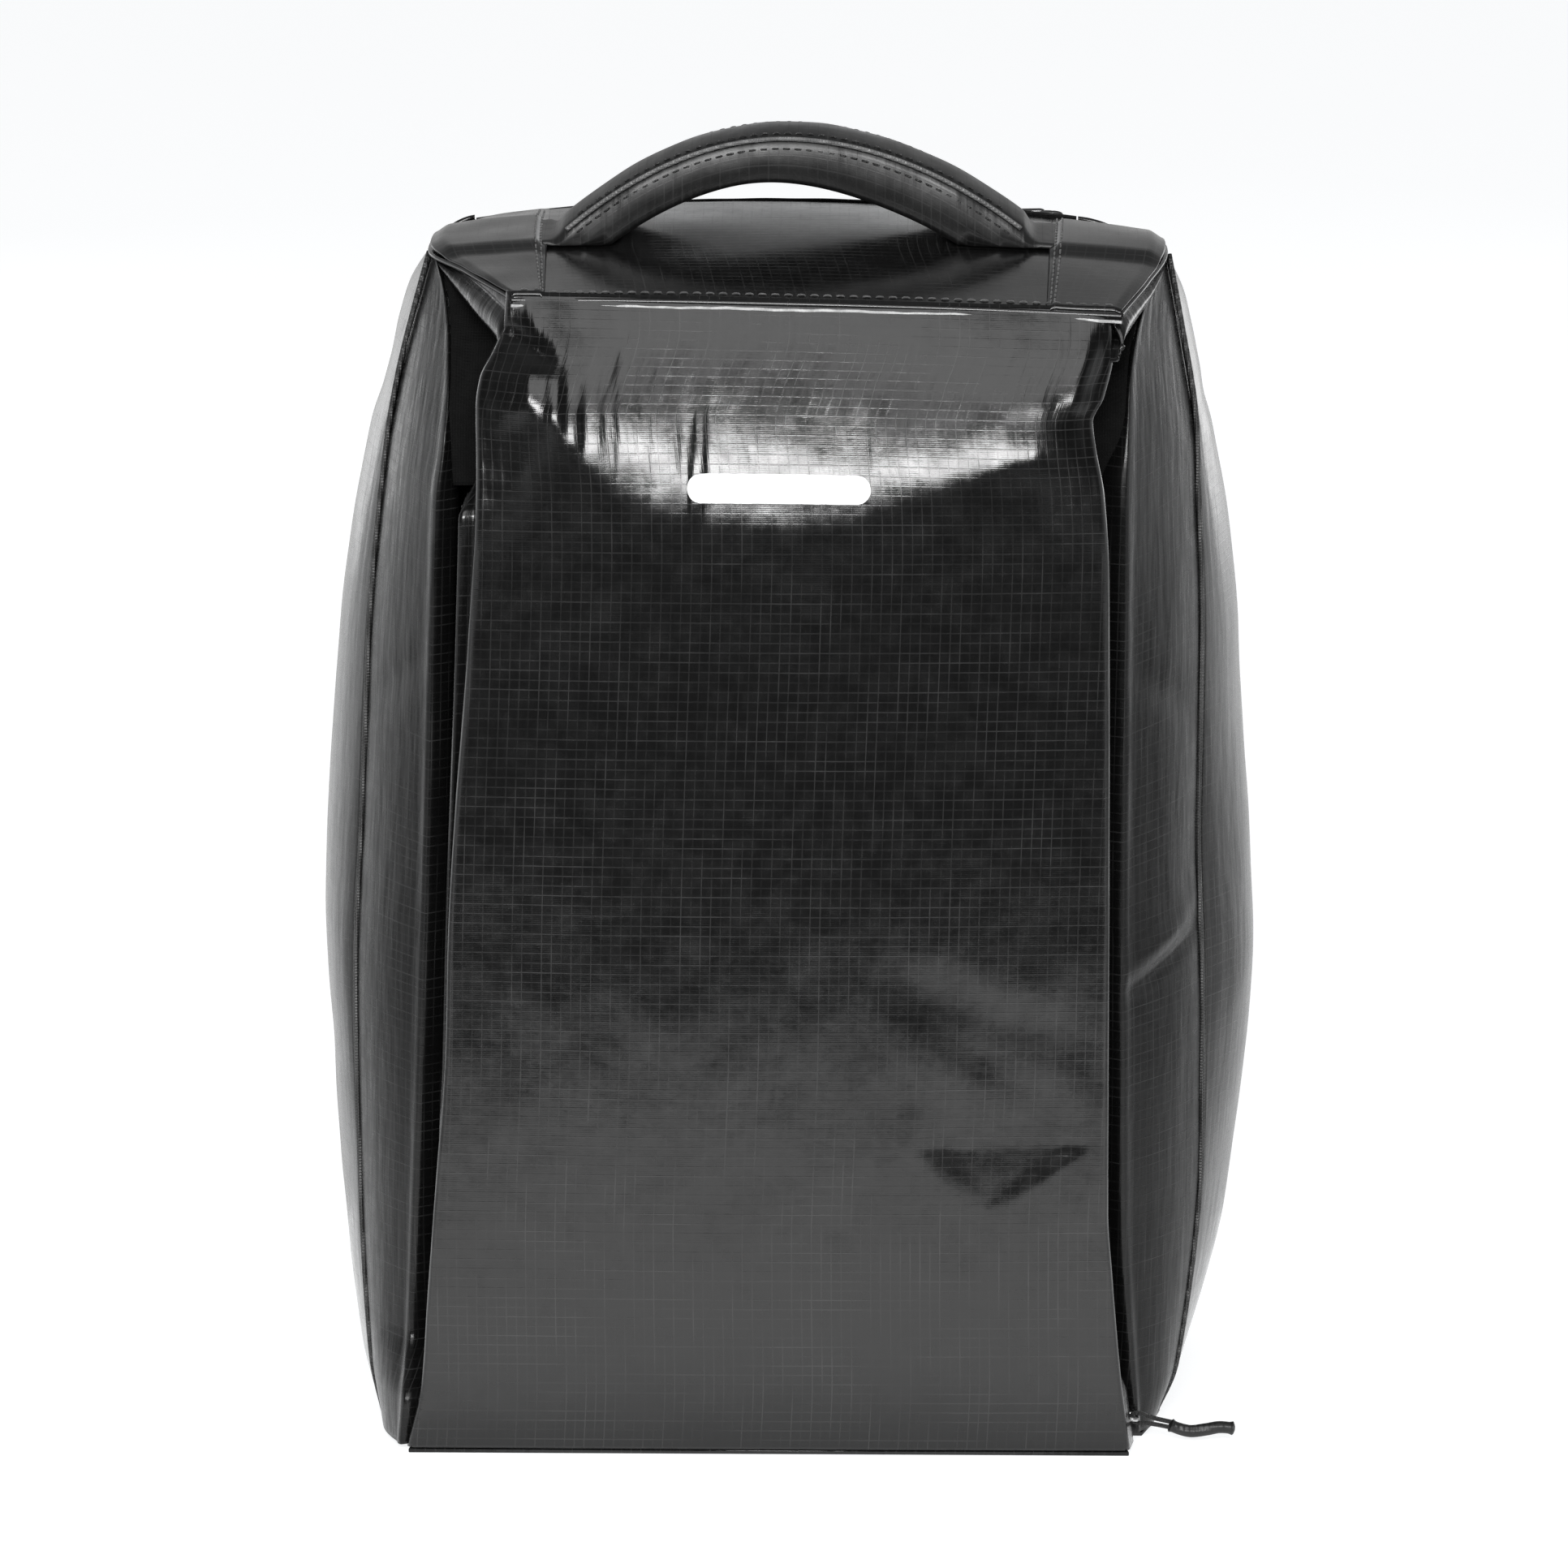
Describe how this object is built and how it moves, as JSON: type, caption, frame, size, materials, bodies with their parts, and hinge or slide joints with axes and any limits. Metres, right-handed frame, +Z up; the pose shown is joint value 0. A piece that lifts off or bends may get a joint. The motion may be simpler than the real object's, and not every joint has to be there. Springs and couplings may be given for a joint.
{
  "type": "shoe bag",
  "caption": "Upright soft shoe bag of glossy coated fabric with a padded carry handle, side zips in hidden channels, a zipped rear pocket and a padded divider.",
  "frame": {"origin": "centre of the bag's overall footprint, on the surface it stands on", "axes": "+Z up, -Y towards the front panel, +X towards the bag's right as seen from the front"},
  "size_m": [0.2494, 0.137, 0.3444],
  "materials": {
    "coated_fabric": "glossy coated ripstop",
    "lining": "matt woven",
    "piping": "satin",
    "tape": "matt woven",
    "coil": "satin",
    "metal": "polished",
    "cord": "matt braided",
    "sleeve": "satin",
    "foam": "matt foam",
    "board": "matt",
    "print": "matt print"
  },
  "bodies": {
    "root": {"back_panel": "coated_fabric", "base_board": "board", "base_panel": "coated_fabric", "divider": "lining", "front_panel": "coated_fabric", "handle_tail_left": "coated_fabric", "handle_tail_right": "coated_fabric", "pocket_lining": "lining", "print_mark": "print", "seam_piping_left": "piping", "seam_piping_right": "piping", "side_front_left": "coated_fabric", "side_front_right": "coated_fabric", "side_rear_left": "coated_fabric", "side_rear_right": "coated_fabric", "top_panel": "coated_fabric", "top_patch_left": "coated_fabric", "top_patch_right": "coated_fabric", "zip_coil_front_left": "coil", "zip_coil_front_right": "coil", "zip_coil_rear_left": "coil", "zip_coil_rear_lower": "coil", "zip_coil_rear_right": "coil", "zip_coil_rear_upper": "coil", "zip_end_tab_left": "coated_fabric", "zip_end_tab_right": "coated_fabric", "zip_tape_front_left": "tape", "zip_tape_front_right": "tape", "zip_tape_rear_left": "tape", "zip_tape_rear_lower": "tape", "zip_tape_rear_right": "tape", "zip_tape_rear_upper": "tape"},
    "handle": {"handle_cover": "coated_fabric", "handle_core": "foam", "handle_piping_front": "piping", "handle_piping_back": "piping"},
    "slider_right": {"zip_slider_right": "metal"},
    "pull_right": {"pull_right_link": "metal", "pull_right_cord": "cord", "pull_right_sleeve": "sleeve"},
    "slider_left": {"zip_slider_left": "metal"},
    "pull_left": {"pull_left": "metal"},
    "slider_rear": {"zip_slider_rear": "metal"},
    "pull_rear": {"pull_rear": "metal"}
  },
  "joints": [
    {"name": "handle_tip", "type": "hinge", "parent": "root", "child": "handle", "pos_m": [0, 0.008, 0.32254], "axis": [1, 0, 0], "range_deg": [-15, 25], "stiffness_Nm_per_rad": 0.05},
    {"name": "zip_right_slide", "type": "slide", "parent": "root", "child": "slider_right", "axis": [-0.0297, 0, 0.9996], "range_m": [0, 0.232]},
    {"name": "pull_right_swing", "type": "hinge", "parent": "slider_right", "child": "pull_right", "pos_m": [0.09001, -0.05, 0.00841], "axis": [0, -1, 0], "range_deg": [-70, 70]},
    {"name": "zip_left_slide", "type": "slide", "parent": "root", "child": "slider_left", "axis": [0.0297, 0, 0.9996], "range_m": [-0.0137, 0.218]},
    {"name": "pull_left_swing", "type": "hinge", "parent": "slider_left", "child": "pull_left", "pos_m": [-0.0896, -0.05, 0.0221], "axis": [0, 1, 0], "range_deg": [0, 150]},
    {"name": "zip_rear_slide", "type": "slide", "parent": "root", "child": "slider_rear", "axis": [1, 0, 0], "range_m": [-0.1465, 0.0025]},
    {"name": "pull_rear_swing", "type": "hinge", "parent": "slider_rear", "child": "pull_rear", "pos_m": [0.072, 0.05632, 0.31312], "axis": [0, 0.7071, -0.7071], "range_deg": [0, 160]}
  ]
}
